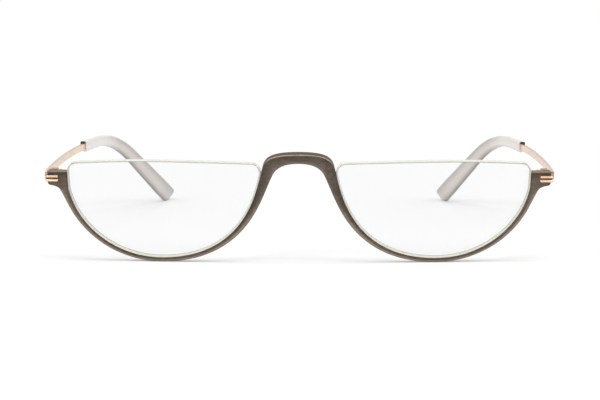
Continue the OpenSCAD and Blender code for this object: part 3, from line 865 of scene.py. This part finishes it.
def along_groove(points, loop):
    """Rings along a line in the groove, from a loop of distances outwards and back."""
    rings = []
    for i, p in enumerate(points):
        way = unit(points[min(i + 1, len(points) - 1)] - points[max(i - 1, 0)])
        out = unit(np.array([way[2], 0, -way[0]]))
        back = np.cross(way, out)
        rings.append([in_front(p + a * out + b * back) for a, b in loop])
    return rings


def build_liner(name, side):
    half_out = GROOVE_W / 2 - 2.5 * SEAT_FIT
    half_in = GROOVE_W / 4
    reach = RIM_CHANNEL - SEAT_FIT
    loop = [
        (reach, -half_out),
        (-LINER_STAND, -half_in),
        (-LINER_STAND, half_in),
        (reach, half_out),
    ]
    line = [bezier(NOSE_EDGE, t) for t in NOSE_SHARES]
    line += [bezier(OUTER_EDGE, t) for t in OUTER_SHARES]
    run = [groove_point(p) for p in line if p[1] < NECK_V - LINER_STOP]
    piece = make_piece(f"rim_nylon_{name}", along_groove(run, loop), side, [M_NYLON])
    dress(piece, "front", f"rim_liner_{name}")


def build_cord(name, side):
    """The round line goes up the nose side, over the open top and down the outer side."""
    sink = LENS_FIT + GROOVE_DEPTH - CORD_D / 2 - SEAT_FIT
    line = inset(lens_outline(), sink)[::-1]
    lowest = min(range(len(line)), key=lambda i: line[i][1])
    line = line[lowest:] + line[:lowest]
    run = [groove_point(p) for p in line if p[1] > LEG_V - CORD_START]
    angles = np.linspace(0, 2 * math.pi, 17)[:-1]
    loop = [(CORD_D / 2 * math.cos(a), -CORD_D / 2 * math.sin(a)) for a in angles]
    piece = make_piece(f"top_nylon_{name}", along_groove(run, loop), side, [M_NYLON])
    dress(piece, "front", f"lens_cord_{name}")


# End clip: a band round the lug with two rounded bars on its face
CLIP_V = LUG_TOP_V - CLIP_DROP
CLIP_ARC = np.linspace(math.pi, 0, 13)  # over one bar of the section, from its lower side
CLIP_LEVEL = 0.05  # share of their height that the bars keep at the back
CLIP_RUN_ON = 0.3  # how far behind the middle of the lug's end the bars run out
# How much painted shade the lower and the upper bar take, and where it begins and is full,
# from each bar's middle towards its outer side
CLIP_PAINTED_SHADE = {-1: 0.45, 1: 1.0}
CLIP_PAINTED_SHADE_FROM = 0.1
CLIP_PAINTED_SHADE_FULL = 0.8


def clip_stations():
    """Where the clip's section stands on its way round the lug.

    Each row holds the middle of a bend, a direction in degrees and the bars' share of
    their height.
    """
    r = CLIP_BEND_R
    lug_y = face_y(LUG_X, (LUG_LOW_V + LUG_TOP_V) / 2)
    front_y = lug_y - SEAT_FIT + r
    back_y = lug_y + RIM_DEPTH + SEAT_FIT - r
    fade_y = (front_y + back_y) / 2 + CLIP_RUN_ON
    out_x = LUG_X + SEAT_FIT - r
    swell = [(r * (1 - math.cos(a)), math.sin(a)) for a in np.linspace(0.05, math.pi / 2, 7)]
    bend = np.linspace(0, 90, 9)
    rows = [(LUG_X - CLIP_LEN + d, front_y, -90, rise) for d, rise in swell]
    rows += [(out_x, front_y, a - 90, 1) for a in bend]
    rows += [(out_x, fade_y - d, 0, rise) for d, rise in swell[::-1]]
    rows += [(out_x, back_y, a, CLIP_LEVEL) for a in bend]
    return rows + [(LUG_X - CLIP_BACK_LEN, back_y, 90, CLIP_LEVEL)]


def clip_section(rise):
    """Points of the band's section, as distances out from its inner face and up."""
    points = [(0, -CLIP_H / 2)]
    for way in (-1, 1):
        for a in CLIP_ARC:
            points.append((
                CLIP_T + rise * CLIP_BAR_R * math.sin(a),
                way * (CLIP_H / 2 - CLIP_BAR_R) + CLIP_BAR_R * math.cos(a),
            ))
    return points + [(0, CLIP_H / 2)]


def build_clip(name, side):
    rings = []
    for x, y, angle, rise in clip_stations():
        out_x = math.cos(math.radians(angle))
        out_y = math.sin(math.radians(angle))
        rings.append([
            in_front((x + (CLIP_BEND_R + d) * out_x, y + (CLIP_BEND_R + d) * out_y, CLIP_V + v))
            for d, v in clip_section(rise)
        ])
    # Painted shade on the bars' outer sides, most on the upper bar
    painted_shade = [0.0]
    for way, most in CLIP_PAINTED_SHADE.items():
        for a in CLIP_ARC:
            painted_shade.append(most * share_between(way * math.cos(a), CLIP_PAINTED_SHADE_FROM, CLIP_PAINTED_SHADE_FULL))
    painted_shade.append(1.0)

    def finish(i, j):
        # The recess between the bars takes dark copper, painted shade
        return M_COPPER_PAINTED_SHADE if j == len(CLIP_ARC) else M_METAL_SMALL

    piece = make_piece(
        f"clip_{name}", rings, side, [M_METAL_SMALL, M_COPPER_PAINTED_SHADE], finish, sharp=45,
        marks={"edge": painted_shade * len(rings)},
    )
    dress(piece, "front", f"end_clip_{name}")


# Temples: everything follows one middle line, measured by s from the hinge.
# Its outward turn and its rise, in degrees at a distance along it
TURNS = [
    (0, SPLAY),
    (0.61 * BEND_START, -2),
    (BEND_START + 1, -0.65 * TUCK),
    (BEND_END - 1.5, -TUCK),
]
SLOPES = [(BEND_START, TEMPLE_RISE), (BEND_END, -TEMPLE_DROP)]
# Heights of the bar, which thins inside the tip, and of the tip
CORE_HEIGHTS = [(TIP_START + 4, BAR_H), (TIP_START + 16, 0.8 * BAR_H)]
TIP_HEIGHTS = [
    (TIP_START, TIP_H),
    (BEND_START + 6, TIP_H),
    (BEND_START + 38, TIP_H + 0.65 * (TIP_END_H - TIP_H)),
    (TEMPLE_LEN - 9, TIP_END_H),
]
STEP = 1.5  # distance between points of the middle line


def heading(s):
    """The way the middle line goes at s."""
    turn = math.radians(lookup(s, TURNS))
    slope = math.radians(lookup(s, SLOPES))
    return np.array([
        math.sin(turn) * math.cos(slope), math.cos(turn) * math.cos(slope), math.sin(slope)
    ])


def middle_line():
    points = [np.array(TEMPLE_FROM)]
    for i in range(int(TEMPLE_LEN // STEP) + 2):
        points.append(points[-1] + STEP * heading((i + 0.5) * STEP))
    return points


PATH = middle_line()


def on_path(s):
    i = min(int(s // STEP), len(PATH) - 2)
    return PATH[i] + (s / STEP - i) * (PATH[i + 1] - PATH[i])


def loop_at(s, loop, slant=0.0):
    """A loop of distances outwards and up, set across the middle line at s."""
    turn = math.radians(lookup(s, TURNS))
    slope = math.radians(lookup(s, SLOPES))
    side = np.array([math.cos(turn), -math.sin(turn), 0])
    up = np.array([
        -math.sin(turn) * math.sin(slope), -math.cos(turn) * math.sin(slope), math.cos(slope)
    ])
    ring = []
    for a, b in loop:
        d = a * side + b * up
        p = on_path(s) + d + slant * d[2] * heading(s)
        ring.append((p[0], p[1] - MID_Y, p[2]))
    return ring


def tall_loop(w, h, r, corner_points=7, side_steps=13):
    """A rounded rectangle with extra points down its two tall sides, for marks to blend over."""
    corners = []
    for k, (x_way, y_way) in enumerate(((1, 1), (-1, 1), (-1, -1), (1, -1))):
        angles = [math.radians(a) for a in np.linspace(90 * k, 90 * k + 90, corner_points)]
        cx = x_way * (w / 2 - r)
        cy = y_way * (h / 2 - r)
        corners.append([(cx + r * math.cos(a), cy + r * math.sin(a)) for a in angles])
    out = []
    for k, points in enumerate(corners):
        out += points
        if k % 2:
            x, first = points[-1]
            last = corners[(k + 1) % 4][0][1]
            out += [(x, first + (last - first) * i / side_steps) for i in range(1, side_steps)]
    return out


# Flat bar, whose core runs on inside the soft tip
BAR_ROUND = 0.24  # radius of its edges, as a share of its thickness
BAR_EASE = 0.12  # how much smaller it is at its very ends
# Heights over its middle, as shares of half its height, where the painted shade on its upper
# edge begins and where it is full
BAR_PAINTED_SHADE = (0.75, 0.95)


def build_bar(name, side):
    starts = [BAR_START, BAR_START + 0.1, BAR_START + 0.3]
    stations = starts + list(np.arange(3, CORE_END, STEP)) + [CORE_END - 0.1, CORE_END]
    rings = []
    # Painted shade along the bar's upper edge
    painted_shade = []
    for s in stations:
        ease = BAR_EASE if s in (BAR_START, CORE_END) else 0
        t = BAR_T - ease
        loop = tall_loop(t, lookup(s, CORE_HEIGHTS) - ease, BAR_ROUND * t)
        top = max(b for a, b in loop)
        rings.append(loop_at(s, loop))
        painted_shade += [share_between(b / top, *BAR_PAINTED_SHADE) for a, b in loop]

    # The bar's front end takes the hinge's darker copper, painted shade
    def finish(i, j):
        return M_HINGE_PAINTED_SHADE if i < len(starts) - 1 else M_METAL

    piece = make_piece(
        f"bar_{name}", rings, side, [M_METAL, M_HINGE_PAINTED_SHADE], finish, sharp=60, marks={"edge": painted_shade}
    )
    dress(piece, f"temple_{name}", f"temple_bar_{name}")


# Soft tip: a bore for the core, and round it a body that flares towards its slanted end
BORE_FIT = 0.1  # how much wider and higher the bore is than the core
BORE_R = 0.2  # radius of the bore's edges
BORE_RINGS = 40
TIP_START_R = 0.25  # roundings of the body's start and end
TIP_END_R = 1.8
TIP_SIDE_ROUND = 0.42  # radius of its edges, as a share of its thickness
TIP_END_THIN = 0.7  # how much the end's rounding takes off its thickness; off its height, 2
TIP_END_OPEN = 0.0005  # keeps the last ring from being drawn in too far
# Mark of the height in a section: at the middle, from there to the top, and what the inner
# side adds
RISE_MIDDLE = 0.44
RISE_HALF = 0.44
RISE_INNER = 0.06
SLANT_LEN = 30.0
# Where along the tip its colour goes over from the level start to the slope, and to the end
FALL_MARK = [(BEND_START + 5, 0), (BEND_START + 19, 1)]
FAR_MARK = [(TEMPLE_LEN - 12, 0), (TEMPLE_LEN - 4, 1)]


def tip_section(s):
    """The body's section, drawn in where its start and its end are rounded."""
    f = max(0.0, s - (TEMPLE_LEN - TIP_END_R)) / TIP_END_R
    end_in = TIP_END_R * (1 - math.sqrt(max(TIP_END_OPEN, 1 - f * f)))
    g = max(0.0, TIP_START + TIP_START_R - s) / TIP_START_R
    start_in = TIP_START_R * (1 - math.sqrt(max(0.0, 1 - g * g)))
    w = TIP_T - TIP_END_THIN * end_in - 2 * start_in
    h = lookup(s, TIP_HEIGHTS) - 2 * end_in - 2 * start_in
    return tall_loop(w, h, TIP_SIDE_ROUND * w)


def tip_rise(loop):
    """Mark of each point's height in a section, a little more on the inner side."""
    wide = max(a for a, b in loop)
    half = max(b for a, b in loop)
    return [
        RISE_MIDDLE + RISE_HALF * b / half + RISE_INNER * (1 - a / wide) for a, b in loop
    ]


def build_tip(name, side):
    rows = []
    for s in np.linspace(CORE_END + 0.5, TIP_START, BORE_RINGS):
        bore = tall_loop(BAR_T + BORE_FIT, lookup(s, CORE_HEIGHTS) + BORE_FIT, BORE_R)
        rows.append((s, bore, 0.0))
    end_from = TEMPLE_LEN - TIP_END_R
    body = [TIP_START + TIP_START_R * (1 - math.cos(a)) for a in np.linspace(0, math.pi / 2, 5)]
    body += list(np.arange(TIP_START + 1, end_from, 1.0))
    body += [end_from + TIP_END_R * math.sin(a) for a in np.linspace(0, 0.49 * math.pi, 12)]
    for s in body:
        slant = END_SLANT * (max(0.0, s - TEMPLE_LEN + SLANT_LEN) / SLANT_LEN) ** 2
        rows.append((s, tip_section(s), slant))
    rings = [loop_at(s, loop, slant) for s, loop, slant in rows]
    marks = {
        "rise": [rise for s, loop, slant in rows for rise in tip_rise(loop)],
        "fall": [lookup(s, FALL_MARK) for s, loop, slant in rows for p in loop],
        "far": [lookup(s, FAR_MARK) for s, loop, slant in rows for p in loop],
    }
    piece = make_piece(f"tip_{name}", rings, side, [M_TIP], sharp=60, marks=marks)
    dress(piece, f"temple_{name}", f"temple_tip_{name}")


# A dark cap over the outer and the upper side of the bar, ahead of the soft tip
TRIM_GAP = 0.05  # from the bar and from the tip
TRIM_ROUND = 0.25
TRIM_EASE = 0.1  # how much smaller it is at its two ends
TRIM_IN_X = 0.1  # how far its outer and its upper side lie inside the tip's
TRIM_IN_Z = 0.05


def build_trim(name, side):
    in_x = BAR_T / 2 + TRIM_GAP
    in_z = BAR_H / 2 + TRIM_GAP
    rings = []
    for f, ease in ((0, TRIM_EASE), (0.08, 0), (0.5, 0), (0.92, 0), (1, TRIM_EASE)):
        out_x = TIP_T / 2 - TRIM_IN_X - ease
        out_z = TIP_H / 2 - TRIM_IN_Z - ease
        rounded = [
            (out_x - TRIM_ROUND * (1 - math.sin(a)), out_z - TRIM_ROUND * (1 - math.cos(a)))
            for a in np.linspace(math.pi / 2, 0, 6)
        ]
        loop = rounded + [
            (-BAR_T / 2, out_z), (-BAR_T / 2, in_z), (in_x, in_z), (in_x, -in_z), (out_x, -in_z)
        ]
        rings.append(loop_at(TIP_START - TRIM_GAP - TRIM_LEN * (1 - f), loop))
    piece = make_piece(f"trim_{name}", rings, side, [M_TRIM], sharp=50)
    dress(piece, f"temple_{name}", f"tip_trim_{name}")


# Hinges, screws and rivets keep their own solids, with softened edges and a metal finish darkened
# as painted shade
HINGE_NODES = ("clip_rivet", "front_hinge", "hinge_screw", "temple_hinge")
EDGE_ROUND = 0.00006  # metres
WELD_REACH = 0.000001


def soften(part):
    # The darker copper is painted shade
    for slot in part.material_slots:
        slot.material = M_HINGE_PAINTED_SHADE
    weld = part.modifiers.new("weld", "WELD")
    weld.merge_threshold = WELD_REACH
    bevel = part.modifiers.new("bevel", "BEVEL")
    bevel.width = EDGE_ROUND
    bevel.segments = 2
    bevel.limit_method = "ANGLE"
    bevel.angle_limit = math.radians(40)


build_front()
for name, side in SIDES:
    build_lens(name, side)
    build_liner(name, side)
    build_cord(name, side)
    build_clip(name, side)
    build_bar(name, side)
    build_tip(name, side)
    build_trim(name, side)
for name, _ in SIDES:
    for base in HINGE_NODES:
        soften(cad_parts[f"{base}_{name}"])


# Floor, backdrop, lamps and camera, in metres and watts
FLOOR_HALF = 6.0
FLOOR_GREY = 0.62
# The floor adds its own white so that it looks as white as the backdrop: how much, at a
# share of the way out to GLOW_REACH
GLOW_REACH = 4.0
FLOOR_GLOW = ((0, 0.215), (0.05, 0.285), (0.12, 0.405), (0.2, 0.515), (0.38, 0.625), (0.9, 0.68))
SKY_LIGHT = 0.6
# Each lamp's name, place, aim, width and height, and power
LAMPS = (
    ("top", (0, -0.2, 1.0), (0, -0.05, 0), (1.1, 0.5), 5),
    ("key", (-0.7, -0.9, 0.9), (0, 0, 0), (0.8, 0.6), 6),
    ("fill", (0.9, -0.7, 0.8), (0, 0, 0), (0.8, 0.6), 5),
)
# The photograph's view: lens and sensor in millimetres, aim in degrees down and left
CAMERA_PLACE = (0.007448, -0.5116364, 0.07123)
CAMERA_DOWN = 6.973
CAMERA_LEFT = 0.914
CAMERA_LENS = 97.04
CAMERA_SENSOR = 36


def stage_white():
    """A floor that looks white, in gloss and through glass too, and keeps the shadow."""
    n = Nodes(bpy.data.materials.new("stage_white"))
    diffuse = n.add("ShaderNodeBsdfDiffuse")
    n.fill(diffuse, Color=(FLOOR_GREY, FLOOR_GREY, FLOOR_GREY, 1))
    place = n.add("ShaderNodeTexCoord")
    away = n.add("ShaderNodeVectorMath", operation="LENGTH")
    n.link(place.outputs["Object"], away.inputs[0])
    share = n.maths("DIVIDE", away.outputs["Value"], GLOW_REACH)
    glow = n.add("ShaderNodeEmission")
    n.feed(
        glow,
        Color=n.ramp(share, [(at, (level, level, level)) for at, level in FLOOR_GLOW]),
        Strength=n.seen(),
    )
    both = n.add("ShaderNodeAddShader")
    n.link(diffuse.outputs["BSDF"], both.inputs[0])
    n.link(glow.outputs["Emission"], both.inputs[1])
    n.feed(n.out, Surface=both.outputs["Shader"])
    return n.owner


def build_stage():
    mesh = bpy.data.meshes.new("floor")
    h = FLOOR_HALF
    mesh.from_pydata([(-h, -h, 0), (h, -h, 0), (h, h, 0), (-h, h, 0)], [], [(0, 1, 2, 3)])
    mesh.materials.append(stage_white())
    floor = bpy.data.objects.new("floor", mesh)
    bpy.context.collection.objects.link(floor)


def build_world():
    """A plain white backdrop that lights the object more softly than it looks."""
    world = bpy.data.worlds.new("studio")
    bpy.context.scene.world = world
    n = Nodes(world, "ShaderNodeOutputWorld")
    levels = []
    for strength in (SKY_LIGHT, 1.0):
        level = n.add("ShaderNodeBackground")
        n.fill(level, Color=(1, 1, 1, 1), Strength=strength)
        levels.append(level)
    n.surface_of_two(n.seen(), *levels)


def stand(item, place, right, back):
    """Put an item into the scene at a place, with its right side and its back as given."""
    up = np.cross(back, right)
    turn = Matrix((right, up, back)).transposed().to_4x4()
    item.matrix_world = Matrix.Translation(place) @ turn
    bpy.context.collection.objects.link(item)


def add_lamp(name, place, aim, size, power):
    lamp = bpy.data.lights.new(name, "AREA")
    lamp.shape = "RECTANGLE"
    lamp.size, lamp.size_y = size
    lamp.energy = power
    back = unit(np.array(place) - np.array(aim))
    stand(bpy.data.objects.new(name, lamp), place, unit(np.cross((0, 0, 1), back)), back)


def build_camera():
    camera = bpy.data.cameras.new("camera")
    camera.sensor_width = CAMERA_SENSOR
    camera.lens = CAMERA_LENS
    camera.clip_start = 0.01
    camera.clip_end = 50
    item = bpy.data.objects.new("camera", camera)
    pitch = math.radians(CAMERA_DOWN)
    yaw = math.radians(CAMERA_LEFT)
    back = np.array([
        math.sin(yaw) * math.cos(pitch), -math.cos(yaw) * math.cos(pitch), math.sin(pitch)
    ])
    stand(item, CAMERA_PLACE, np.array([math.cos(yaw), math.sin(yaw), 0]), back)
    bpy.context.scene.camera = item


build_stage()
build_world()
for lamp in LAMPS:
    add_lamp(*lamp)
build_camera()
bpy.context.scene.view_settings.view_transform = "Standard"
